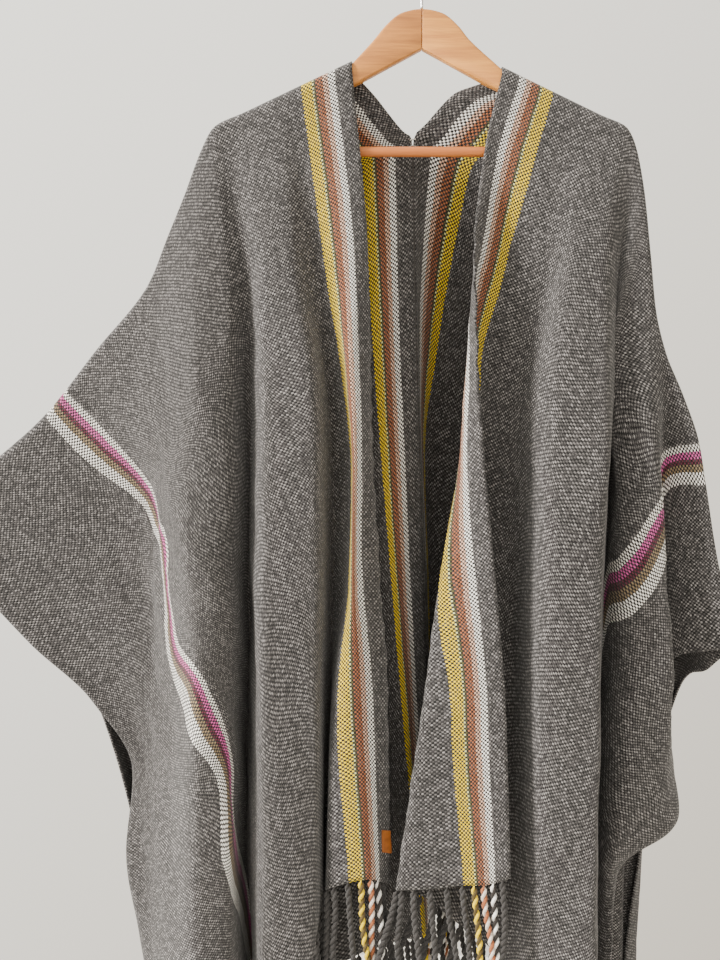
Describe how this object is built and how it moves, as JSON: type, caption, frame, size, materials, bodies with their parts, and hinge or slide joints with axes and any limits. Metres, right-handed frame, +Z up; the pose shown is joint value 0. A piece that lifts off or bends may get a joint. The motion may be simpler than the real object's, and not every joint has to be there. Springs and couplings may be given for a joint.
{
  "type": "ruana wrap on a hanger",
  "caption": "Open-front woven wool wrap with striped edges and fringed hems, hung on a wooden clothes hanger with a trouser bar and a wire hook",
  "frame": {"origin": "the inside top of the hook's crook, where the hanger is held", "axes": "+Z up, the open front faces -Y, +X to the viewer's right when looking at the front"},
  "size_m": [0.8928, 0.2006, 1.4399],
  "materials": {
    "wool_cloth": "plain-woven heather grey wool with coloured warp stripes",
    "wool_fringe": "twisted wool warp ends",
    "leather_tab": "smooth tan leather, plain",
    "hanger_wood": "clear satin varnish",
    "hook_wire": "bright wire"
  },
  "bodies": {
    "root": {"left_panel": "wool_cloth", "right_panel": "wool_cloth", "fringe_front_left": "wool_fringe", "fringe_front_right": "wool_fringe", "fringe_back_left": "wool_fringe", "fringe_back_right": "wool_fringe", "label_tab": "leather_tab", "hanger_arm_left": "hanger_wood", "hanger_arm_right": "hanger_wood", "trouser_bar": "hanger_wood", "hook": "hook_wire"}
  },
  "joints": []
}
